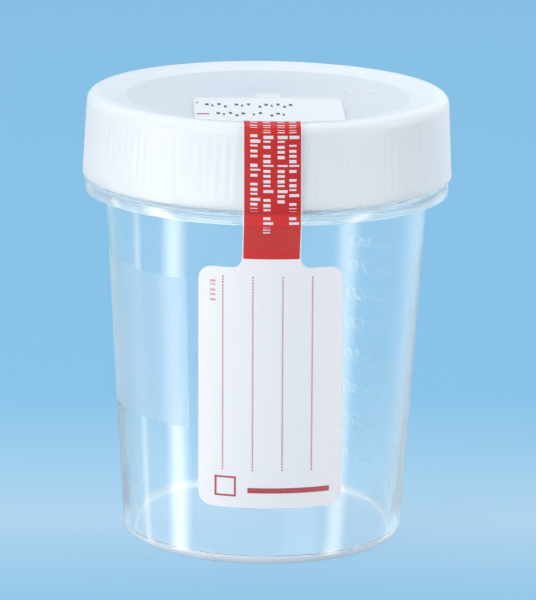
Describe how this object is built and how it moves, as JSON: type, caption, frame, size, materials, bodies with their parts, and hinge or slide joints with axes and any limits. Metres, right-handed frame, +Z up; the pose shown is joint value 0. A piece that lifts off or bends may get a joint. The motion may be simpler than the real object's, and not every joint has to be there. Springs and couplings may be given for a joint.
{
  "type": "specimen container",
  "caption": "Clear tapered screw-cap specimen cup with a ribbed white cap, moulded graduation and a paper seal label over the closure.",
  "frame": {"origin": "centre of the cup's flat underside", "axes": "+Z up the container's axis towards the cap, the writing panel of the label faces -Y, +X to the right seen from the label's side"},
  "size_m": [0.062, 0.0622, 0.0762],
  "materials": {
    "clear_plastic": "gloss",
    "white_plastic": "satin",
    "label_paper": "matte",
    "red_print": "matte"
  },
  "bodies": {
    "container": {"cup": "clear_plastic", "seal_label_lower": "label_paper", "seal_print_lower": "red_print", "writing_lines": "red_print"},
    "closure": {"screw_cap": "white_plastic", "seal_label_upper": "label_paper", "seal_print_upper": "red_print"}
  },
  "joints": [
    {"name": "cap_lift", "type": "slide", "parent": "container", "child": "closure", "axis": [0, 0, 1], "range_m": [0, 0.03]}
  ]
}
